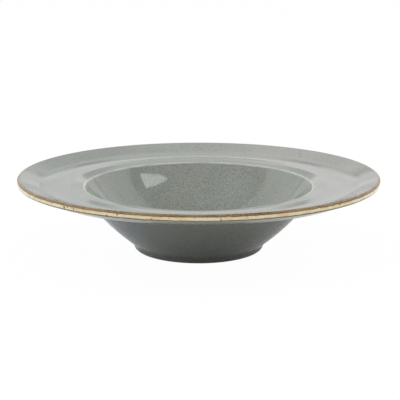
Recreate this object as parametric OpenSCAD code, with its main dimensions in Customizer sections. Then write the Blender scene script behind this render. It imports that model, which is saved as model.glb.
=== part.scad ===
// Wide-rimmed pasta plate with a deep well, an upturned lip and a painted edge band.
// The origin is the centre of the foot's resting plane, and +Z points up.
// The plate is one closed outline turned about the Z axis, and the glaze coats follow it.

/* [Well] */
// Diameter across the top of the rounded edge of the well
well_d = 166.2; // [156:0.2:178]
// Depth from the edge of the well down to its floor
well_depth = 39.8; // [35:0.2:48]
// Radius of the bow in the wall of the well
bow_r = 170; // [120:5:400]
// Radius where the wall turns into the floor
floor_bend_r = 34; // [20:1:44]
// Radius of the rounded edge of the well
well_edge_r = 2; // [1:0.1:3]

/* [Rim] */
// Overall diameter over the edge of the rim
plate_d = 260; // [248:1:284]
// Width of the low shoulder round the well
shoulder_w = 9.2; // [7:0.1:12]
// Climb of the shoulder, from the edge of the well outwards
shoulder_climb = 1.1; // [0.8:0.1:1.4]
// Radius where the shoulder meets the rim
shoulder_r = 8; // [3:0.5:12]
// Climb of the rim, from the shoulder to the lip
rim_climb = 1.2; // [0.8:0.1:2]
// How far the middle of the rim sags below a straight line, before its bend is rounded
rim_sag = 0.7; // [0.4:0.05:0.9]
// Radius that rounds the bend in the middle of the rim
rim_bend_r = 90; // [40:5:95]
// Share of the width from the shoulder to the edge that turns up as the lip
lip_share = 0.435; // [0.35:0.005:0.5]
// Climb of the lip, up to the highest point of the plate
lip_climb = 5.6; // [4.6:0.1:6.4]
// Radius where the rim turns up into the lip
lip_r = 26; // [12:1:34]
// Thickness of the rim as far as the lip, measured upright
rim_t = 5.1; // [4.4:0.1:5.8]

/* [Edge] */
// Radius of the top corner of the edge, under the brown line
edge_top_r = 1.6; // [1:0.1:2]
// Thickness of the edge, which the lip thins down to, measured upright
edge_t = 4.3; // [3.8:0.1:5]
// Radius of the lower corner of the edge
edge_low_r = 1.6; // [0.8:0.1:2]
// Radius where the underside turns up under the lip
lip_low_r = 14; // [6:1:20]

/* [Wall and base] */
// Thickness of the wall of the well
wall_t = 4.2; // [3.4:0.1:5]
// Thickness of the base under the floor of the well
base_t = 4.4; // [3.4:0.1:6]
// Radius where the outer wall meets the underside of the rim
neck_r = 8; // [3:0.5:12]

/* [Foot] */
// Outer diameter of the foot ring
foot_d = 94.8; // [90:0.2:102]
// Height at which the outer wall would meet the side of the foot ring
foot_h = 4.7; // [4:0.1:6.5]
// Radius of the outer lower corner of the foot ring
foot_round_r = 3.7; // [2.8:0.1:4.2]
// Radius of the hollow between the foot ring and the outer wall
hollow_r = 5.8; // [4:0.1:8]
// Width of the flat contact face of the foot ring
contact_w = 3; // [2:0.1:4.5]
// Radius of the inner lower corner of the foot ring
foot_inner_r = 1; // [0.7:0.1:1.4]
// Lean of the inside of the foot ring, in degrees from upright
foot_inner_lean = 20; // [10:1:30]
// Depth of the recess inside the foot ring
recess_depth = 3.2; // [2.8:0.1:4.6]
// Radius where the inside of the foot ring meets the base
recess_r = 1; // [0.5:0.1:1.4]

/* [Glaze] */
// Thickness of the glaze coats and of the painted edge
glaze_t = 0.35; // [0.25:0.05:0.5]
// How far up the foot's rounded corners the glaze is wiped away, in degrees
wipe_angle = 14; // [8:1:24]

/* [Hidden] */
$fn = 180;

// Largest gap between a true arc and the short straight stretches that follow it
arc_gap = 0.02;
// Fewest straight stretches in an arc
least_steps = 3;
// Most of the shorter side of a corner that its rounding may take up
side_share = 0.35;
// The same for the bend in the rim, which lies between two small roundings
rim_share = 0.6;
// The same for the low corner of the edge, which has the upright face to itself
edge_share = 0.8;

glaze_colour = "#8f948d";
line_colour = "#86694a";
band_colour = "#d3c7a4";
clay_colour = "#e6e0d4";

// Heights, stacked up from the table
floor_z = recess_depth + base_t;
well_edge_z = floor_z + well_depth;
shoulder_z = well_edge_z + shoulder_climb;
lip_z = shoulder_z + rim_climb;
top_z = lip_z + lip_climb;
edge_bottom_z = top_z - edge_t;

// Radii from the axis outwards
foot_r = foot_d / 2;
well_r = well_d / 2;
shoulder_end_r = well_r + shoulder_w;
rim_r = plate_d / 2;
lip_start_r = rim_r - lip_share * (rim_r - shoulder_end_r);

// Point at distance d from p, in the direction of angle a
function polar(p, d, a) = p + d * [cos(a), sin(a)];

// Angle of the direction from p to q
function heading(p, q) = atan2(q.y - p.y, q.x - p.x);

// Turn from one heading to another, to the left if positive
function turn(a, b) = (b - a + 540) % 360 - 180;

// Point of the line through p with heading a that lies at distance d from c
function on_line(p, a, c, d) =
    let (along = (c - p) * [cos(a), sin(a)])
    let (miss = norm(c - polar(p, along, a)))
    polar(p, along + sqrt(d * d - miss * miss), a);

// Point at distance d from p and e from q, to the right of the way from p to q
function between(p, d, q, e) =
    let (gap = norm(q - p))
    let (along = (gap * gap + d * d - e * e) / (2 * gap))
    polar(polar(p, along, heading(p, q)), sqrt(d * d - along * along), heading(p, q) - 90);

// Points of an arc about c from angle a to angle b, without the last one
function arc(c, r, a, b) =
    let (n = max(least_steps, ceil(abs(b - a) / (2 * acos(1 - arc_gap / r)))))
    [for (i = [0 : n - 1]) polar(c, r, a + (b - a) * i / n)];

// Points that round corner v between p and q, with both ends.
// The radius is wanted_r, or less where the corner's shorter side leaves no room for it.
function rounded(p, v, q, wanted_r, share = side_share) =
    let (a = heading(p, v))
    let (sweep = turn(a, heading(v, q)))
    let (side = sign(sweep) * 90)
    let (room = share * min(norm(v - p), norm(q - v)))
    let (r = min(wanted_r, room / tan(abs(sweep) / 2)))
    let (c = polar(polar(v, -r * tan(abs(sweep) / 2), a), r, a + side))
    concat(arc(c, r, a - side, a - side + sweep), [polar(c, r, a - side + sweep)]);

// Line of points moved by t to the right of its own direction, evenly round its bends
function moved(line, t) =
    let (last = len(line) - 1)
    [for (i = [0 : last])
        let (a = heading(line[max(i, 1) - 1], line[max(i, 1)]))
        let (b = heading(line[min(i, last - 1)], line[min(i, last - 1) + 1]))
        let (half = turn(a, b) / 2)
        polar(line[i], t / cos(half), a + half - 90)];

// Corners of the face of the rim
well_edge = [well_r, well_edge_z];
shoulder_end = [shoulder_end_r, shoulder_z];
lip_start = [lip_start_r, lip_z];
rim_middle = (shoulder_end + lip_start) / 2 - [0, rim_sag];
shoulder_slope = heading(well_edge, shoulder_end);

// Top corner of the edge, which the lip runs into
edge_top_c = [rim_r - edge_top_r, top_z - edge_top_r];
lip_slope = heading(lip_start, edge_top_c) + asin(edge_top_r / norm(edge_top_c - lip_start));
lip_end = polar(edge_top_c, edge_top_r, lip_slope + 90);
face_top = [rim_r, edge_top_c.y];

// Corners of the underside: level with the face as far as the lip, then thinning to the edge
edge_low = [rim_r, edge_bottom_z];
under_outer = lip_start - [0, rim_t];
under_inner = shoulder_end - [0, rim_t];

// Centres of the arcs that make the wall: inside and outside share one centre
roll_c = polar(well_edge, well_edge_r, shoulder_slope - 90);
foot_corner = [foot_r, foot_h];
wall_c = between(roll_c, bow_r + well_edge_r, foot_corner, bow_r + wall_t);
bend_c = on_line([wall_c.x, floor_z + floor_bend_r], 0, wall_c, bow_r - floor_bend_r);
neck_line = polar(under_inner, neck_r, shoulder_slope - 90);
neck_c = on_line(neck_line, shoulder_slope, wall_c, bow_r + wall_t + neck_r);
neck_start = polar(neck_c, neck_r, shoulder_slope + 90);

// Centres of the arcs that make the foot ring
foot_round_c = [foot_r - foot_round_r, foot_round_r];
hollow_c = between(foot_round_c, foot_round_r + hollow_r, wall_c, bow_r + wall_t + hollow_r);
foot_inner_c = [foot_round_c.x - contact_w, foot_inner_r];
foot_inner_heading = 90 + foot_inner_lean;
foot_inner_end = polar(foot_inner_c, foot_inner_r, foot_inner_heading + 90);
recess_middle = [0, recess_depth];
recess_corner = foot_inner_end
    + [-tan(foot_inner_lean), 1] * (recess_depth - foot_inner_end.y);

// Angles at which the arcs meet
bend_end = heading(wall_c, bend_c);
roll_start = heading(wall_c, roll_c);
neck_end = heading(wall_c, neck_c);
hollow_start = heading(wall_c, hollow_c);
hollow_end = hollow_start + 180 + turn(hollow_start + 180, heading(hollow_c, foot_round_c));
foot_down = -90;

// The outline, from the middle of the floor over the rim and back under to the axis.
// Each stretch ends where the next one starts.
face_line = concat(
    [[0, floor_z]],
    arc(bend_c, floor_bend_r, foot_down, bend_end),
    arc(wall_c, bow_r, bend_end, roll_start),
    arc(roll_c, well_edge_r, roll_start + 180, shoulder_slope + 90),
    [well_edge],
    rounded(well_edge, shoulder_end, rim_middle, shoulder_r),
    rounded(shoulder_end, rim_middle, lip_start, rim_bend_r, rim_share),
    rounded(rim_middle, lip_start, lip_end, lip_r));
corner_line = arc(edge_top_c, edge_top_r, lip_slope + 90, 0);
band_line = [face_top];
under_line = concat(
    rounded(face_top, edge_low, under_outer, edge_low_r, edge_share),
    rounded(edge_low, under_outer, under_inner, lip_low_r),
    rounded(under_outer, under_inner, neck_start, shoulder_r),
    arc(neck_c, neck_r, shoulder_slope + 90, neck_end + 180),
    arc(wall_c, bow_r + wall_t, neck_end, hollow_start),
    arc(hollow_c, hollow_r, hollow_start + 180, hollow_end),
    arc(foot_round_c, foot_round_r, hollow_end - 180, foot_down + wipe_angle));
bare_line = concat(
    arc(foot_round_c, foot_round_r, foot_down + wipe_angle, foot_down),
    [[foot_round_c.x, 0]],
    arc(foot_inner_c, foot_inner_r, foot_down, foot_down - wipe_angle));
base_line = concat(
    arc(foot_inner_c, foot_inner_r, foot_down - wipe_angle, foot_inner_heading - 270),
    [foot_inner_end],
    rounded(foot_inner_end, recess_corner, recess_middle, recess_r),
    [recess_middle]);

stretches = [face_line, corner_line, band_line, under_line, bare_line, base_line];
outline = [for (stretch = stretches) each stretch];
body_outline = moved(outline, glaze_t);

// Number of points before stretch i
function start(i) = i == 0 ? 0 : start(i - 1) + len(stretches[i - 1]);

// Points of a line from stretch i up to the start of stretch j
function section(line, i, j) = [for (k = [start(i) : min(start(j), len(line) - 1)]) line[k]];

function reversed(line) = [for (k = [len(line) - 1 : -1 : 0]) line[k]];

// Coat of glaze or paint over stretch i of the outline
module coat(i) {
    rotate_extrude()
        polygon(concat(section(outline, i, i + 1), reversed(section(body_outline, i, i + 1))));
}

// Fired body under the coats, bare where the foot stands on the table
module clay_body() {
    color(clay_colour)
        rotate_extrude()
            polygon(concat(
                section(body_outline, 0, 4),
                section(outline, 4, 5),
                section(body_outline, 5, 6)));
}

// Grey-green coat over the well, the shoulder, the rim and the lip
module top_glaze() {
    color(glaze_colour) coat(0);
}

// Brown line on the top corner of the edge
module edge_line() {
    color(line_colour) coat(1);
}

// Cream band round the upright face of the edge
module edge_band() {
    color(band_colour) coat(2);
}

// Grey-green coat under the rim, down the wall and round the foot
module underside_glaze() {
    color(glaze_colour) coat(3);
}

// Grey-green coat in the recess inside the foot ring
module base_glaze() {
    color(glaze_colour) coat(5);
}

clay_body();
top_glaze();
edge_line();
edge_band();
underside_glaze();
base_glaze();
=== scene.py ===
import math

import bpy
import numpy as np
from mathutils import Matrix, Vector


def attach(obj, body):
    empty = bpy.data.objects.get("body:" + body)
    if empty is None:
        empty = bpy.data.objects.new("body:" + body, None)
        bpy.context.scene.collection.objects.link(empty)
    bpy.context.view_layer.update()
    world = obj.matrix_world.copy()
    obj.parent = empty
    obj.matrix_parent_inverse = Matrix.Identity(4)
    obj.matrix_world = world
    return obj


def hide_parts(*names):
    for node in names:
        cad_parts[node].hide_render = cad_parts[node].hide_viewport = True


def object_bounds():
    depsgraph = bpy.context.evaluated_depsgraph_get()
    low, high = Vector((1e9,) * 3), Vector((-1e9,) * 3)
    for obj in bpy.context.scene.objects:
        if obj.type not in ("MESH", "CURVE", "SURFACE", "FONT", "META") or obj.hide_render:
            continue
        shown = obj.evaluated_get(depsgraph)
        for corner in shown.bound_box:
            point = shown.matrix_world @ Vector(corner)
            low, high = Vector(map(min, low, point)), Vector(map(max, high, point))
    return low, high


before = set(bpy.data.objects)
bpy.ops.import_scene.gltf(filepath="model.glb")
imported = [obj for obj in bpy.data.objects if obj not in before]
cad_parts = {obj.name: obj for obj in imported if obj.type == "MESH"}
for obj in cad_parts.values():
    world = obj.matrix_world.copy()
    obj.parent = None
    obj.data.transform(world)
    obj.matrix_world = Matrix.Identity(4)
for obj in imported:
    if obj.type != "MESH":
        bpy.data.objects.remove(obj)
cad_low, cad_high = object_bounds()

MM = 0.001

# Sizes of the plate in millimetres, angles in degrees and shares, the same as in the CAD model
well_d, well_depth, bow_r, floor_bend_r, well_edge_r = 166.2, 39.8, 170, 34, 2
plate_d, shoulder_w, shoulder_climb, shoulder_r = 260, 9.2, 1.1, 8
rim_climb, rim_sag, rim_bend_r = 1.2, 0.7, 90
lip_share, lip_climb, lip_r, rim_t = 0.435, 5.6, 26, 5.1
edge_top_r, edge_t, edge_low_r, lip_low_r = 1.6, 4.3, 1.6, 14
wall_t, base_t, neck_r = 4.2, 4.4, 8
foot_d, foot_h, foot_round_r, hollow_r, contact_w = 94.8, 4.7, 3.7, 5.8, 3
foot_inner_r, foot_inner_lean, recess_depth, recess_r = 1, 20, 3.2, 1
glaze_t, wipe_angle = 0.35, 14
side_share, rim_share, edge_share = 0.35, 0.6, 0.8

# Gap between an arc and its straight stretches on the faces in view and on the clay under the coats
fine_gap, coarse_gap = 0.001, 0.02
# Fewest stretches of an arc, and stretches round the plate
fewest, turns = 3, 512
# Distances in metres under which a point lies on the axis, and under which two points are one
on_axis_gap, same_gap = 1e-9, 1e-8
# Angle over which an edge of a mesh is drawn sharp
sharp_angle = 30


def point(x, z):
    """A place in the section: x is the radius and z the height."""
    return np.array([x, z], float)


def polar(p, d, a):
    """The place at distance d and heading a from p."""
    return p + d * point(math.cos(math.radians(a)), math.sin(math.radians(a)))


def heading(p, q):
    return math.degrees(math.atan2(q[1] - p[1], q[0] - p[0]))


def turn(a, b):
    """Turn from heading a to heading b, between -180 and 180."""
    return (b - a + 540) % 360 - 180


def on_line(p, a, c, d):
    """The farther place on the line through p with heading a that lies at distance d from c."""
    along = (c - p) @ point(math.cos(math.radians(a)), math.sin(math.radians(a)))
    miss = np.linalg.norm(c - polar(p, along, a))
    return polar(p, along + math.sqrt(d * d - miss * miss), a)


def between(p, d, q, e):
    """The place at distance d from p and e from q, on the right of the way from p to q."""
    gap = np.linalg.norm(q - p)
    along = (gap * gap + d * d - e * e) / (2 * gap)
    return polar(polar(p, along, heading(p, q)), math.sqrt(d * d - along * along), heading(p, q) - 90)


def outline(gap):
    """The plate's section as six stretches, each up to the start of the next."""

    def arc(c, r, a, b):
        n = max(fewest, math.ceil(abs(b - a) / (2 * math.degrees(math.acos(1 - gap / r)))))
        return [polar(c, r, a + (b - a) * i / n) for i in range(n)]

    def rounded(p, v, q, wanted_r, share=side_share):
        a = heading(p, v)
        sweep = turn(a, heading(v, q))
        side = math.copysign(90, sweep)
        room = share * min(np.linalg.norm(v - p), np.linalg.norm(q - v))
        bend = math.tan(math.radians(abs(sweep) / 2))
        r = min(wanted_r, room / bend)
        c = polar(polar(v, -r * bend, a), r, a + side)
        return arc(c, r, a - side, a - side + sweep) + [polar(c, r, a - side + sweep)]

    floor_z = recess_depth + base_t
    well_edge_z = floor_z + well_depth
    shoulder_z = well_edge_z + shoulder_climb
    lip_z = shoulder_z + rim_climb
    top_z = lip_z + lip_climb
    rim_r = plate_d / 2

    well_edge = point(well_d / 2, well_edge_z)
    shoulder_end = point(well_d / 2 + shoulder_w, shoulder_z)
    lip_start = point(rim_r - lip_share * (rim_r - shoulder_end[0]), lip_z)
    rim_middle = (shoulder_end + lip_start) / 2 - point(0, rim_sag)
    shoulder_slope = heading(well_edge, shoulder_end)

    edge_top_c = point(rim_r - edge_top_r, top_z - edge_top_r)
    reach = math.asin(edge_top_r / np.linalg.norm(edge_top_c - lip_start))
    lip_slope = heading(lip_start, edge_top_c) + math.degrees(reach)
    lip_end = polar(edge_top_c, edge_top_r, lip_slope + 90)
    face_top = point(rim_r, edge_top_c[1])

    edge_low = point(rim_r, top_z - edge_t)
    under_outer = lip_start - point(0, rim_t)
    under_inner = shoulder_end - point(0, rim_t)

    roll_c = polar(well_edge, well_edge_r, shoulder_slope - 90)
    wall_c = between(roll_c, bow_r + well_edge_r, point(foot_d / 2, foot_h), bow_r + wall_t)
    bend_c = on_line(point(wall_c[0], floor_z + floor_bend_r), 0, wall_c, bow_r - floor_bend_r)
    neck_line = polar(under_inner, neck_r, shoulder_slope - 90)
    neck_c = on_line(neck_line, shoulder_slope, wall_c, bow_r + wall_t + neck_r)
    neck_start = polar(neck_c, neck_r, shoulder_slope + 90)

    foot_round_c = point(foot_d / 2 - foot_round_r, foot_round_r)
    hollow_c = between(foot_round_c, foot_round_r + hollow_r, wall_c, bow_r + wall_t + hollow_r)
    foot_inner_c = point(foot_round_c[0] - contact_w, foot_inner_r)
    foot_inner_heading = 90 + foot_inner_lean
    foot_inner_end = polar(foot_inner_c, foot_inner_r, foot_inner_heading + 90)
    lean = math.tan(math.radians(foot_inner_lean))
    recess_corner = foot_inner_end + point(-lean, 1) * (recess_depth - foot_inner_end[1])
    recess_middle = point(0, recess_depth)

    bend_end = heading(wall_c, bend_c)
    roll_start = heading(wall_c, roll_c)
    neck_end = heading(wall_c, neck_c)
    hollow_start = heading(wall_c, hollow_c)
    hollow_end = hollow_start + 180 + turn(hollow_start + 180, heading(hollow_c, foot_round_c))

    face = (
        [point(0, floor_z)]
        + arc(bend_c, floor_bend_r, -90, bend_end)
        + arc(wall_c, bow_r, bend_end, roll_start)
        + arc(roll_c, well_edge_r, roll_start + 180, shoulder_slope + 90)
        + [well_edge]
        + rounded(well_edge, shoulder_end, rim_middle, shoulder_r)
        + rounded(shoulder_end, rim_middle, lip_start, rim_bend_r, rim_share)
        + rounded(rim_middle, lip_start, lip_end, lip_r)
    )
    corner = arc(edge_top_c, edge_top_r, lip_slope + 90, 0)
    band = [face_top]
    under = (
        rounded(face_top, edge_low, under_outer, edge_low_r, edge_share)
        + rounded(edge_low, under_outer, under_inner, lip_low_r)
        + rounded(under_outer, under_inner, neck_start, shoulder_r)
        + arc(neck_c, neck_r, shoulder_slope + 90, neck_end + 180)
        + arc(wall_c, bow_r + wall_t, neck_end, hollow_start)
        + arc(hollow_c, hollow_r, hollow_start + 180, hollow_end)
        + arc(foot_round_c, foot_round_r, hollow_end - 180, wipe_angle - 90)
    )
    bare = (
        arc(foot_round_c, foot_round_r, wipe_angle - 90, -90)
        + [point(foot_round_c[0], 0)]
        + arc(foot_inner_c, foot_inner_r, -90, -90 - wipe_angle)
    )
    base = (
        arc(foot_inner_c, foot_inner_r, -90 - wipe_angle, foot_inner_heading - 270)
        + [foot_inner_end]
        + rounded(foot_inner_end, recess_corner, recess_middle, recess_r)
        + [recess_middle]
    )
    return [face, corner, band, under, bare, base]


def moved(line, t):
    """The line moved by t to the right of its own direction, evenly round its bends."""
    last = len(line) - 1
    out = []
    for i in range(last + 1):
        a = heading(line[max(i, 1) - 1], line[max(i, 1)])
        b = heading(line[min(i, last - 1)], line[min(i, last - 1) + 1])
        half = turn(a, b) / 2
        out.append(polar(line[i], t / math.cos(math.radians(half)), a + half - 90))
    return out


fine = outline(fine_gap)
coarse = outline(coarse_gap)
coarse_line = [p for stretch in coarse for p in stretch]
body_line = moved(coarse_line, glaze_t)
starts = np.cumsum([0] + [len(stretch) for stretch in coarse])


def skin(i):
    """Outer face of stretch i, up to and with the first point of the next one."""
    return fine[i] + (fine[i + 1][:1] if i + 1 < len(fine) else [])


def body(i, j):
    """Face of the clay under stretches i to j - 1, with the point where stretch j starts."""
    return body_line[starts[i]:min(starts[j] + 1, len(body_line))]


def revolve(name, loop, node):
    """Closed solid made by turning a closed section about the Z axis."""
    pts = np.array(loop) * MM
    pts[np.abs(pts[:, 0]) < on_axis_gap, 0] = 0
    on_axis = np.where(pts[:, 0] == 0)[0]
    if len(on_axis) == 2 and on_axis[0] + 1 == on_axis[1]:
        pts = np.roll(pts, -on_axis[1], 0)
    keep = np.ones(len(pts), bool)
    keep[1:] = np.linalg.norm(np.diff(pts, axis=0), axis=1) > same_gap
    pts = pts[keep]
    x, z = pts[:, 0], pts[:, 1]
    nx, nz = np.roll(x, -1), np.roll(z, -1)
    if (x * nz - nx * z).sum() < 0:
        pts = pts[::-1]
    rings, verts = [], []
    angles = np.arange(turns) * 2 * math.pi / turns
    cos, sin = np.cos(angles), np.sin(angles)
    for r, h in pts:
        if r == 0:
            rings.append([len(verts)] * turns)
            verts.append((0.0, 0.0, h))
        else:
            rings.append(list(range(len(verts), len(verts) + turns)))
            verts.extend(zip(r * cos, r * sin, [h] * turns))
    faces = []
    count = len(rings)
    for k in range(count):
        a, b = rings[k], rings[(k + 1) % count]
        if a[0] == a[1] and b[0] == b[1]:
            continue
        for s in range(turns):
            t = (s + 1) % turns
            if a[s] == a[t]:
                faces.append((a[s], b[t], b[s]))
            elif b[s] == b[t]:
                faces.append((a[s], a[t], b[s]))
            else:
                faces.append((a[s], a[t], b[t], b[s]))
    mesh = bpy.data.meshes.new(name)
    top = cad_high[2]
    mesh.from_pydata([(float(x), float(y), min(float(z), top)) for x, y, z in verts], [], faces)
    mesh.polygons.foreach_set("use_smooth", [True] * len(mesh.polygons))
    mesh.set_sharp_from_angle(angle=math.radians(sharp_angle))
    mesh.update()
    piece = bpy.data.objects.new(name, mesh)
    bpy.context.scene.collection.objects.link(piece)
    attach(piece, "root")
    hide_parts(node)
    return piece


def coat(name, i, node):
    """Coat over stretch i of the outline, down to the clay."""
    return revolve(name, skin(i) + body(i, i + 1)[::-1], node)


# Materials
def colour(r, g, b):
    """Linear colour of an sRGB colour given as 0 to 255."""
    lin = [v / 255 / 12.92 if v <= 10.3 else ((v / 255 + 0.055) / 1.055) ** 2.4 for v in (r, g, b)]
    return (*lin, 1)


# Grey-green tones of the glaze on top, and on the rim from left to right, the greener left one a painted tint of
# cooler light from the left
GREY, GREY_WARM = colour(138, 147, 139), colour(142, 146, 136)
GREY_RIM_COOL_LIT, GREY_RIM_RIGHT = colour(141, 147, 140), colour(145, 146, 140)
# Tones of the glaze underneath, darker than the same glaze on top as painted shade, and its colder tone at the
# left, a painted tint of cooler light from that side
GREY_UNDER_SHADED, GREY_UNDER_WARM_SHADED, GREY_UNDER_COOL_LIT = colour(114, 117, 111), colour(117, 117, 109), colour(116, 122, 127)
# Paint of the edge; the pale ring of thin glaze on the well's edge, with a painted highlight in it; and the pale
# strip under the edge, a painted reflection of the floor
PALE_AND_HIGHLIGHT, PALE_GREY_REFLECTION = colour(198, 200, 194), colour(172, 171, 161)
BROWN, BROWN_DARK, BROWN_PALE = colour(142, 112, 68), colour(106, 76, 44), colour(160, 138, 106)
CREAM, CREAM_LIGHT = colour(222, 204, 158), colour(232, 221, 188)
LINE, SPECK, MOTTLE = colour(100, 86, 66), colour(62, 50, 40), colour(92, 96, 88)
CLAY, CLAY_LIGHT = colour(214, 203, 182), colour(229, 220, 203)
WHITE, BLACK = (1, 1, 1, 1), (0, 0, 0, 1)

# Specks: cells to the metre, largest size in cells, share of the cells that have one, and colour
GLAZE_SPECKS = [
    (560, 0.36, 0.5, colour(92, 90, 80)),
    (330, 0.19, 0.45, colour(78, 73, 63)),
    (150, 0.1, 0.3, SPECK),
]
CREAM_SPECKS = (420, 0.42, 0.65, SPECK)
CLAY_SPECKS = (500, 0.3, 0.35, colour(120, 100, 80))

# Noise patterns: scale, detail and roughness
CLOUDS, DRIFTS, GRAIN = (40, 3, 0.55), (24, 2, 0.5), (760, 2, 0.75)
RING_SWAY, RING_BREAKUP = (200, 2, 0.5), (90, 2, 0.5)
BLOBS, FLECKS, PATCHES, CREAM_TONE = (300, 3, 0.6), (900, 2, 0.6), (60, 2, 0.5), (120, 2, 0.5)
GLAZE_SHEEN, GLAZE_RIPPLE, GLAZE_SWELL = (60, 3, 0.6), (320, 2, 0.5), (45, 2, 0.5)
CLAY_TONE, CLAY_SHEEN, CLAY_GRAIN = (160, 4, 0.6), (400, 3, 0.6), (1400, 3, 0.6)

# Places of the tones in metres, each a pair from none to full
# Radius where the tones of the rim begin, and x from its left tone to its right one, across which the painted
# tint of cooler light fades
RIM_REACH, RIM_COOL_LIGHT_SPAN = (0.084, 0.095), (-0.02, 0.07)
# Radius where the painted tint of cooler light begins underneath, and x from it to the plain shaded tone
UNDER_REACH, UNDER_COOL_LIGHT_SPAN = (0.03, 0.05), (-0.06, -0.02)
# x and radius where the mottle is densest
MOTTLE_LEFT, MOTTLE_RIGHT, MOTTLE_REACH = (-0.062, -0.03), (0.09, 0.06), (0.09, 0.08)
# Radius and height of the pale ring on the edge of the well, thin glaze with a painted highlight
RING_INSIDE, RING_OUTSIDE, RING_HEIGHT = (0.0815, 0.0819), (0.0837, 0.0832), (0.0445, 0.0450)
# Heights of the borders of the painted edge, from the top down, the last two around a strip of painted
# reflection under it
BROWN_TO_CREAM, CREAM_TO_LINE = (0.0539, 0.0535), (0.05195, 0.0516)
LINE_TO_REFLECTION, REFLECTION_TO_GREY = (0.0512, 0.0509), (0.0480, 0.0462)
# Radius of the painted top corner, height under which all of the edge is painted, and radius of the edge
CORNER_RADIUS, FACE_HEIGHT, EDGE_RADIUS = (0.1279, 0.1283), (0.0506, 0.0503), (0.114, 0.117)

TOP_TONES = (GREY, GREY_WARM, GREY_RIM_COOL_LIT, GREY_RIM_RIGHT, RIM_COOL_LIGHT_SPAN, RIM_REACH)
# Underside tones: the top glaze darkened as painted shade, and tinted cooler at the left as painted light
UNDER_SHADED_TONES = (GREY_UNDER_SHADED, GREY_UNDER_WARM_SHADED, GREY_UNDER_COOL_LIT, GREY_UNDER_SHADED, UNDER_COOL_LIGHT_SPAN, UNDER_REACH)
TOP_ROUGHNESS, UNDER_ROUGHNESS, GLAZE_IOR = 0.04, 0.1, 1.5
GLAZE_BUMP, CLAY_BUMP = 0.000003, 0.00006


class Nodes:
    """Short calls that add nodes to a material or a world and join them."""

    def __init__(self, owner, output, place):
        owner.use_nodes = True
        self.tree = owner.node_tree
        self.tree.nodes.clear()
        self.output = self.add(output)
        self.place = self.add("ShaderNodeTexCoord").outputs[place]
        self.x, self.y, self.z = self.add("ShaderNodeSeparateXYZ", {0: self.place}).outputs

    def add(self, kind, values=None, **settings):
        """New node, with values or sockets put on its inputs."""
        n = self.tree.nodes.new(kind)
        for key, value in settings.items():
            setattr(n, key, value)
        for key, value in (values or {}).items():
            self.join(value, n.inputs[key])
        return n

    def join(self, value, socket):
        if isinstance(value, bpy.types.Node):
            value = value.outputs[0]
        if isinstance(value, bpy.types.NodeSocket):
            self.tree.links.new(value, socket)
        else:
            socket.default_value = value

    def math(self, operation, *values):
        return self.add("ShaderNodeMath", dict(enumerate(values)), operation=operation).outputs[0]

    def times(self, *values):
        out = values[0]
        for value in values[1:]:
            out = self.math("MULTIPLY", out, value)
        return out

    def noise(self, scale, detail, roughness):
        values = {"Vector": self.place, "Scale": scale, "Detail": detail, "Roughness": roughness}
        return self.add("ShaderNodeTexNoise", values).outputs["Fac"]

    def cells(self, scale):
        """Distance to the nearest of scattered points, and random values for each."""
        n = self.add("ShaderNodeTexVoronoi", {"Vector": self.place, "Scale": scale})
        return n.outputs["Distance"], self.add("ShaderNodeSeparateColor", {0: n.outputs["Color"]}).outputs

    def steps(self, value, low, high, out_low=0.0, out_high=1.0):
        """Smooth step between two values, which may fall as well as rise."""
        values = {"Value": value, "From Min": low, "From Max": high, "To Min": out_low, "To Max": out_high}
        return self.add("ShaderNodeMapRange", values, interpolation_type="SMOOTHSTEP").outputs["Result"]

    def mix(self, share, a, b):
        values = {"Factor": share, 6: a, 7: b}
        return self.add("ShaderNodeMix", values, data_type="RGBA").outputs[2]

    def sway(self, value, noise, reach):
        """Value moved to and fro by noise, over the given reach."""
        return self.math("MULTIPLY_ADD", self.math("SUBTRACT", noise, 0.5), reach, value)

    def radius(self):
        return self.math("SQRT", self.math("ADD", self.times(self.x, self.x), self.times(self.y, self.y)))

    def bump(self, height, distance):
        return self.add("ShaderNodeBump", {"Distance": distance, "Strength": 1.0, "Height": height})

    def blend(self, share, a, b):
        return self.add("ShaderNodeMixShader", {0: share, 1: a, 2: b})

    def sum(self, a, b):
        return self.add("ShaderNodeAddShader", {0: a, 1: b})

    def show(self, shader):
        self.join(shader, self.output.inputs[0])


def new_material(name):
    material = bpy.data.materials.new(name)
    return material, Nodes(material, "ShaderNodeOutputMaterial", "Object")


def specks(n, base, scale, size, amount, tint):
    """Small round dots of random sizes scattered in the glaze."""
    distance, random = n.cells(scale)
    chosen = n.steps(random[0], 1 - amount, 1.0)
    edge = n.times(random[1], size)
    inside = n.steps(distance, n.times(edge, 1.25), n.times(edge, 0.6))
    return n.mix(n.times(inside, chosen), base, tint)


def glaze_colour(n, grey, warm, left, right, span, reach):
    """Grey-green glaze with cloudy tones, a fine mottle densest across the middle, and dark specks."""
    radius = n.radius()
    tone = n.mix(n.steps(n.noise(*CLOUDS), 0.35, 0.65), grey, warm)
    # Left-to-right tone on the rim and underneath: painted tint of cooler light from the left
    tone = n.mix(n.steps(radius, *reach), tone, n.mix(n.steps(n.x, *span), left, right))
    across = n.times(n.steps(n.x, *MOTTLE_LEFT), n.steps(n.x, *MOTTLE_RIGHT))
    dense = n.math("MULTIPLY_ADD", n.times(across, n.steps(radius, *MOTTLE_REACH, 0.35, 1.0)), 0.6, 0.4)
    cloud = n.times(n.steps(n.noise(*DRIFTS), 0.36, 0.6, 0.3, 1.0), dense)
    grain = n.steps(n.noise(*GRAIN), 0.44, 0.64, 0.0, 0.62)
    tone = n.mix(n.times(grain, cloud), tone, MOTTLE)
    for kind in GLAZE_SPECKS:
        tone = specks(n, tone, *kind)
    return tone


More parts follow.
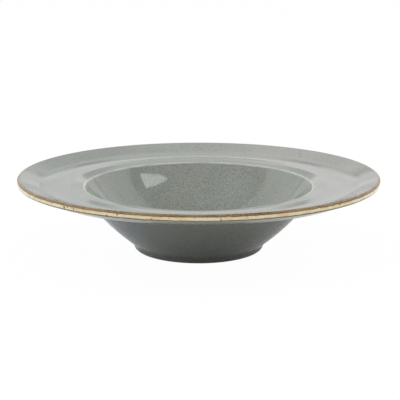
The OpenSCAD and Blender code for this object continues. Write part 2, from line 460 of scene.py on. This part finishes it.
def pale_ring_and_highlight(n, grey):
    """Glaze thin and pale along the edge of the well, with a painted highlight along it."""
    radius = n.sway(n.radius(), n.noise(*RING_SWAY), 0.0005)
    ring = n.times(n.steps(radius, *RING_INSIDE), n.steps(radius, *RING_OUTSIDE))
    ring_breakup = n.steps(n.noise(*RING_BREAKUP), 0.3, 0.7, 0.4, 0.85)
    return n.mix(n.times(ring, ring_breakup, n.steps(n.z, *RING_HEIGHT)), grey, PALE_AND_HIGHLIGHT)


def painted_edge(n, grey):
    """Grey glaze, brown line, cream band, thin dark line and a pale strip of painted reflection of the floor,
    each with its own uneven border.
    """
    blobs, flecks = n.noise(*BLOBS), n.noise(*FLECKS)
    upper = n.sway(n.sway(n.z, blobs, 0.0014), flecks, 0.0005)
    lower = n.sway(n.z, blobs, 0.0007)
    streaks = n.math("MULTIPLY_ADD", flecks, 0.5, n.times(blobs, 0.5))
    brown = n.mix(n.steps(streaks, 0.42, 0.58), BROWN_DARK, BROWN)
    brown = n.mix(n.steps(n.noise(*PATCHES), 0.4, 0.7, 0.0, 0.45), brown, BROWN_PALE)
    cream = n.mix(n.steps(n.noise(*CREAM_TONE), 0.35, 0.65), CREAM, CREAM_LIGHT)
    tone = n.mix(n.steps(upper, *BROWN_TO_CREAM), brown, specks(n, cream, *CREAM_SPECKS))
    tone = n.mix(n.steps(lower, *CREAM_TO_LINE), tone, LINE)
    # Pale strip under the dark line: painted reflection of the floor
    tone = n.mix(n.steps(lower, *LINE_TO_REFLECTION), tone, n.mix(0.7, grey, PALE_GREY_REFLECTION))
    tone = n.mix(n.steps(n.z, *REFLECTION_TO_GREY), tone, grey)
    radius = n.radius()
    corner = n.steps(n.sway(radius, blobs, 0.0014), *CORNER_RADIUS)
    painted = n.math("MAXIMUM", corner, n.steps(n.z, *FACE_HEIGHT))
    return n.mix(n.times(painted, n.steps(radius, *EDGE_RADIUS)), grey, tone)


def glazed(name, rough, tones=TOP_TONES):
    material, n = new_material(name)
    n.show(n.add("ShaderNodeBsdfPrincipled", {
        "Base Color": painted_edge(n, pale_ring_and_highlight(n, glaze_colour(n, *tones))),
        "Roughness": n.steps(n.noise(*GLAZE_SHEEN), 0.3, 0.7, rough * 0.8, rough * 1.25),
        "IOR": GLAZE_IOR,
        "Normal": n.bump(n.math("MULTIPLY_ADD", n.noise(*GLAZE_RIPPLE), 0.3, n.noise(*GLAZE_SWELL)), GLAZE_BUMP),
    }))
    return material


def bare_clay():
    material, n = new_material("bare_clay")
    tone = n.mix(n.steps(n.noise(*CLAY_TONE), 0.3, 0.7), CLAY, CLAY_LIGHT)
    n.show(n.add("ShaderNodeBsdfPrincipled", {
        "Base Color": specks(n, tone, *CLAY_SPECKS),
        "Roughness": n.steps(n.noise(*CLAY_SHEEN), 0.3, 0.7, 0.72, 0.88),
        "Normal": n.bump(n.noise(*CLAY_GRAIN), CLAY_BUMP),
    }))
    return material


grey_top = glazed("grey_glaze", TOP_ROUGHNESS)
# Darker copy of the grey glaze for the underside and the base: painted shade
grey_under_shaded = glazed("grey_glaze_under_shaded", UNDER_ROUGHNESS, UNDER_SHADED_TONES)
brown_line = glazed("brown_line", UNDER_ROUGHNESS)
cream_band = glazed("cream_band", UNDER_ROUGHNESS)
clay = bare_clay()

pieces = [
    (revolve("clay_core", body(0, 4)[:-1] + skin(4) + body(5, 6)[1:], "clay_body"), clay),
    (coat("glaze_top", 0, "top_glaze"), grey_top),
    (coat("painted_line", 1, "edge_line"), brown_line),
    (coat("painted_band", 2, "edge_band"), cream_band),
    (coat("glaze_under", 3, "underside_glaze"), grey_under_shaded),
    (coat("glaze_base", 5, "base_glaze"), grey_under_shaded),
]
for piece, material in pieces:
    piece.data.materials.append(material)


# Stage, in metres
FLOOR_RADIUS, FLOOR_CORNERS, FLOOR_COLOUR = 14.0, 96, (0.86, 0.86, 0.86, 1)
# How far the floor is drawn towards white where the camera sees it
FLOOR_WHITENESS = 0.97
# Distance from the plate's axis over which the floor's glow rises, and its strength far off and near
GLOW_REACH, GLOW = (0.26, 0.08), (0.08, 0.25)
# Middle of the dimmer patch in front of the plate, its reach, and the glow there
PATCH_PLACE, PATCH_REACH, PATCH_GLOW = (0.005, -0.055, 0), (0.01, 0.08), 0.09

# Distance of the panels from the plate, and the heights over which a side panel fades in
PANEL_DISTANCE, SIDE_FADE, NO_FADE = 2.4, (0.74, 1.2), (0.0, 0.001)
RIGHT_LIGHT, LEFT_LIGHT, WINDOW_LIGHT = 0.76, 0.88, 3.80
# Azimuth and elevation of the corners of the panels and of the window, and elevation of a panel's foot
PANEL_FOOT = 14
RIGHT_TOP = [
    (80, 43.4), (96.5, 43.4), (105, 43.9), (108, 44.8), (110.6, 45.8), (111.9, 47.4),
    (112.2, 50), (113.2, 52), (116, 58), (132, 59), (150, 58), (165, 45),
]
LEFT_TOP = [
    (-80, 43.4), (-96.3, 43.4), (-100.3, 44), (-104.3, 44.2), (-105.9, 46), (-108.1, 48.3),
    (-109.5, 50.2), (-109.7, 52.3), (-110, 58), (-132, 59), (-150, 58), (-165, 45),
]
WINDOW_TOP = [(97.3, 53), (90, 55.3), (66.1, 61.5), (62, 62), (58, 62.4)]
WINDOW_FOOT = [(89.6, 48.4), (84.6, 50.3), (66.5, 57.3), (62, 59.8), (58.4, 62)]

# Veil behind the plate: its place, half width, lower and upper edge, and how much it dims
VEIL_Y, VEIL_HALF, VEIL_LOW, VEIL_HIGH, VEIL_DIMMING = 0.25, 0.118, 0.09, 0.142, 0.45
# Height of its lower border in the middle, its rise towards the sides, and the x where it has risen
BORDER_Z, BORDER_RISE, BORDER_X = 0.095, 0.0173, 0.099
# Softness of that border in the middle, and how much less there is of it at the sides
BORDER_SOFT, BORDER_SHARPER = 0.0145, -0.012
# x over which the veil thickens from its middle, with its shares, and the fades at its sides and its top
VEIL_THICKER, VEIL_MIDDLE_SHARE, VEIL_SIDE, VEIL_TOP = (0.060, 0.096), 0.12, (0.111, 0.101), (0.141, 0.124)


def sheet(name, verts, faces, material):
    mesh = bpy.data.meshes.new(name)
    mesh.from_pydata(verts, [], faces)
    mesh.materials.append(material)
    thing = bpy.data.objects.new(name, mesh)
    bpy.context.scene.collection.objects.link(thing)
    return thing


def floor_disc():
    """Pale floor with a soft glow round the plate, clear from below."""
    material, n = new_material("floor_white")
    away = n.add("ShaderNodeVectorMath", {0: n.place}, operation="LENGTH").outputs["Value"]
    ahead = n.add("ShaderNodeVectorMath", {0: n.place, 1: PATCH_PLACE}, operation="DISTANCE").outputs["Value"]
    strength = n.steps(ahead, *PATCH_REACH, PATCH_GLOW, n.steps(away, *GLOW_REACH, *GLOW))
    paint = n.add("ShaderNodeBsdfDiffuse", {"Color": FLOOR_COLOUR})
    lit = n.sum(paint, n.add("ShaderNodeEmission", {"Strength": strength}))
    seen = n.times(n.add("ShaderNodeLightPath").outputs["Is Camera Ray"], FLOOR_WHITENESS)
    pale = n.blend(seen, lit, n.add("ShaderNodeEmission", {"Strength": 1.0}))
    below = n.add("ShaderNodeNewGeometry").outputs["Backfacing"]
    n.show(n.blend(below, pale, n.add("ShaderNodeBsdfTransparent")))

    corners = [2 * math.pi * i / FLOOR_CORNERS for i in range(FLOOR_CORNERS)]
    ring = [(FLOOR_RADIUS * math.cos(a), FLOOR_RADIUS * math.sin(a), 0) for a in corners]
    floor = sheet("floor", ring, [tuple(range(FLOOR_CORNERS))], material)


def direction(azimuth, elevation):
    """From the plate: azimuth 0 is towards the camera, 90 to the right, 180 behind."""
    a, e = math.radians(azimuth), math.radians(elevation)
    return Vector((math.sin(a) * math.cos(e), -math.cos(a) * math.cos(e), math.sin(e)))


def panel(name, upper, lower, radiance, fade):
    """Light added over the studio between two lines of directions, fading in between two heights."""
    material, n = new_material(name)
    glow = n.add("ShaderNodeEmission", {"Strength": n.steps(n.z, *fade, 0.0, radiance)})
    n.show(n.sum(n.add("ShaderNodeBsdfTransparent"), glow))

    count = len(upper)
    verts = [tuple(direction(*way) * PANEL_DISTANCE) for way in upper + lower]
    light = sheet(name, verts, [(i, i + 1, count + i + 1, count + i) for i in range(count - 1)], material)
    light.visible_camera = False


def side_panel(name, top, radiance):
    """Broad softbox at one side, with a crisp top and a soft bottom."""
    panel(name, top, [(azimuth, PANEL_FOOT) for azimuth, _ in top], radiance, SIDE_FADE)


def dim_flag():
    """Thin veil behind the plate, densest towards both sides, with a nearly sharp lower edge there."""
    material, n = new_material("dim_flag")
    x = n.math("ABSOLUTE", n.x)
    bend = n.math("POWER", n.math("DIVIDE", x, BORDER_X), 2.0)
    over = n.math("SUBTRACT", n.z, n.math("MULTIPLY_ADD", bend, BORDER_RISE, BORDER_Z))
    inside = n.steps(over, 0.0, n.math("MULTIPLY_ADD", bend, BORDER_SHARPER, BORDER_SOFT))
    thick = n.steps(x, *VEIL_THICKER, VEIL_MIDDLE_SHARE, 1.0)
    dim = n.times(inside, thick, n.steps(x, *VEIL_SIDE), n.steps(n.z, *VEIL_TOP), VEIL_DIMMING)
    n.show(n.add("ShaderNodeBsdfTransparent", {0: n.mix(dim, WHITE, BLACK)}))

    ways = [(-1, VEIL_LOW), (1, VEIL_LOW), (1, VEIL_HIGH), (-1, VEIL_HIGH)]
    flag = sheet("dim_flag", [(side * VEIL_HALF, VEIL_Y, z) for side, z in ways], [(0, 1, 2, 3)], material)
    flag.visible_camera = False


floor_disc()
dim_flag()
side_panel("right_panel", RIGHT_TOP, RIGHT_LIGHT)
side_panel("left_panel", LEFT_TOP, LEFT_LIGHT)
panel("right_window", WINDOW_TOP, WINDOW_FOOT, WINDOW_LIGHT, NO_FADE)

# Brightness of the studio round the plate in tenths: a row for each elevation, a value for each azimuth
AZIMUTHS = [
    -180, -177, -173.5, -168, -160, -148, -134, -120, -108, -97, -86, -74, -60, -40,
    0, 40, 60, 74, 86, 97, 108, 120, 134, 148, 160, 168, 173.5, 177,
]
STUDIO = {
    0: [5, 6, 5, 4, 3, 3, 4, 6, 8, 9, 8, 4, 0, 0, 0, 0, 0, 3, 6, 7, 7, 5, 3, 2, 2, 4, 5, 6],
    4: [7, 7, 6, 7, 8, 8, 8, 9, 10, 11, 10, 7, 2, 0, 0, 0, 0, 5, 8, 8, 8, 6, 5, 6, 7, 8, 8, 7],
    8: [11, 8, 9, 9, 9, 11, 11, 10, 11, 12, 11, 8, 3, 0, 0, 0, 2, 6, 8, 8, 7, 7, 8, 9, 10, 10, 10, 9],
    12: [10, 8, 9, 9, 8, 12, 13, 12, 11, 11, 11, 9, 5, 0, 0, 0, 3, 6, 7, 7, 7, 8, 10, 12, 10, 10, 10, 9],
    15: [10, 12, 10, 8, 9, 13, 15, 13, 12, 11, 11, 10, 7, 2, 0, 1, 4, 6, 7, 7, 8, 10, 13, 13, 10, 9, 10, 12],
    19: [8, 7, 9, 9, 10, 12, 14, 15, 15, 14, 13, 12, 10, 6, 2, 4, 6, 8, 9, 10, 11, 13, 15, 13, 9, 8, 8, 9],
    24: [9, 8, 12, 10, 9, 8, 9, 14, 17, 18, 18, 16, 13, 8, 2, 4, 9, 11, 13, 14, 14, 14, 11, 9, 8, 7, 8, 10],
    30: [12, 11, 11, 9, 7, 4, 4, 9, 15, 19, 20, 20, 16, 9, 0, 6, 12, 15, 16, 16, 14, 10, 6, 5, 6, 6, 8, 8],
    35: [11, 13, 13, 10, 6, 3, 3, 6, 12, 16, 18, 18, 16, 10, 1, 6, 12, 14, 15, 14, 12, 8, 5, 3, 4, 6, 9, 9],
    39: [11, 14, 16, 14, 8, 3, 3, 7, 10, 13, 14, 14, 13, 10, 4, 7, 10, 11, 11, 12, 11, 8, 4, 2, 4, 8, 10, 12],
    42: [11, 13, 16, 16, 9, 4, 3, 7, 9, 11, 12, 12, 12, 11, 8, 8, 8, 8, 8, 8, 9, 9, 4, 2, 4, 8, 10, 11],
    45: [12, 14, 18, 16, 9, 4, 3, 6, 9, 10, 12, 12, 11, 11, 10, 8, 8, 8, 8, 7, 8, 8, 4, 2, 4, 8, 11, 11],
    48: [14, 15, 18, 13, 7, 2, 2, 5, 9, 10, 12, 14, 14, 12, 12, 10, 10, 11, 10, 8, 9, 7, 3, 1, 3, 8, 13, 13],
    51: [16, 16, 14, 8, 4, 1, 2, 6, 10, 11, 14, 17, 17, 16, 14, 13, 14, 15, 14, 10, 9, 6, 2, 0, 2, 6, 12, 16],
    55: [11, 10, 7, 3, 1, 1, 2, 6, 11, 14, 17, 17, 19, 18, 17, 17, 16, 15, 12, 8, 8, 4, 1, 0, 1, 3, 7, 10],
    61: [4, 3, 2, 1, 0, 1, 2, 6, 10, 13, 15, 18, 19, 16, 17, 17, 13, 11, 9, 7, 5, 3, 1, 0, 0, 1, 2, 4],
    69: [1, 1, 0, 0, 0, 1, 2, 4, 7, 10, 13, 15, 16, 14, 16, 15, 13, 11, 9, 6, 4, 2, 1, 0, 0, 0, 1, 1],
    79: [1, 1, 1, 1, 1, 2, 2, 3, 4, 6, 8, 10, 12, 15, 15, 12, 9, 7, 6, 4, 3, 2, 2, 1, 1, 1, 1, 1],
    90: [2, 2, 2, 2, 2, 2, 2, 2, 2, 2, 2, 2, 2, 2, 2, 2, 2, 2, 2, 2, 2, 2, 2, 2, 2, 2, 2, 2],
}
TENTH = 0.1


def studio_world():
    """Soft light by direction: each elevation is a ramp round the plate, and neighbours blend smoothly."""
    world = bpy.data.worlds.new("studio")
    bpy.context.scene.world = world
    n = Nodes(world, "ShaderNodeOutputWorld", "Generated")
    height = n.times(n.math("ARCSINE", n.z), 180 / math.pi)
    round_share = n.math("MULTIPLY_ADD", n.math("ARCTAN2", n.x, n.times(n.y, -1.0)), 0.5 / math.pi, 0.5)
    brightest = max(max(row) for row in STUDIO.values())
    levels = list(STUDIO)
    total = 0.0
    for i, level in enumerate(levels):
        ramp = n.add("ShaderNodeValToRGB", {0: round_share})
        ramp.color_ramp.interpolation = "EASE"
        stops = ramp.color_ramp.elements
        stops[1].position = 1.0
        for azimuth in AZIMUTHS[1:]:
            stops.new((azimuth + 180) / 360)
        for stop, value in zip(stops, STUDIO[level] + STUDIO[level][:1]):
            share = value / brightest
            stop.color = (share, share, share, 1)
        part = ramp.outputs[0]
        if i > 0:
            part = n.times(part, n.steps(height, levels[i - 1], level))
        if i < len(levels) - 1:
            part = n.times(part, n.steps(height, levels[i + 1], level))
        total = n.math("ADD", part, total)
    n.show(n.add("ShaderNodeBackground", {"Color": WHITE, "Strength": n.times(total, brightest * TENTH)}))


studio_world()

# Camera: focal length and frame in pixels, distance and place aimed at in millimetres, tilt in degrees
FOCAL, FRAME, SENSOR = 1098, 400, 36
DISTANCE, TILT, ORBIT_Z, AIM = 800, 13, 32.6, (0.95, 0, 35.2)
tilt = math.radians(TILT)
cam = bpy.data.cameras.new("camera")
cam.sensor_width = SENSOR
cam.lens = FOCAL / FRAME * SENSOR
cam.clip_start, cam.clip_end = 0.05, 50
cam_object = bpy.data.objects.new("camera", cam)
bpy.context.scene.collection.objects.link(cam_object)
cam_object.location = Vector((0, -DISTANCE * math.cos(tilt), ORBIT_Z + DISTANCE * math.sin(tilt))) * MM
cam_object.rotation_mode = "QUATERNION"
cam_object.rotation_quaternion = (cam_object.location - Vector(AIM) * MM).to_track_quat("Z", "Y")
bpy.context.scene.camera = cam_object

view = bpy.context.scene.view_settings
view.view_transform = "Standard"
view.look = "None"
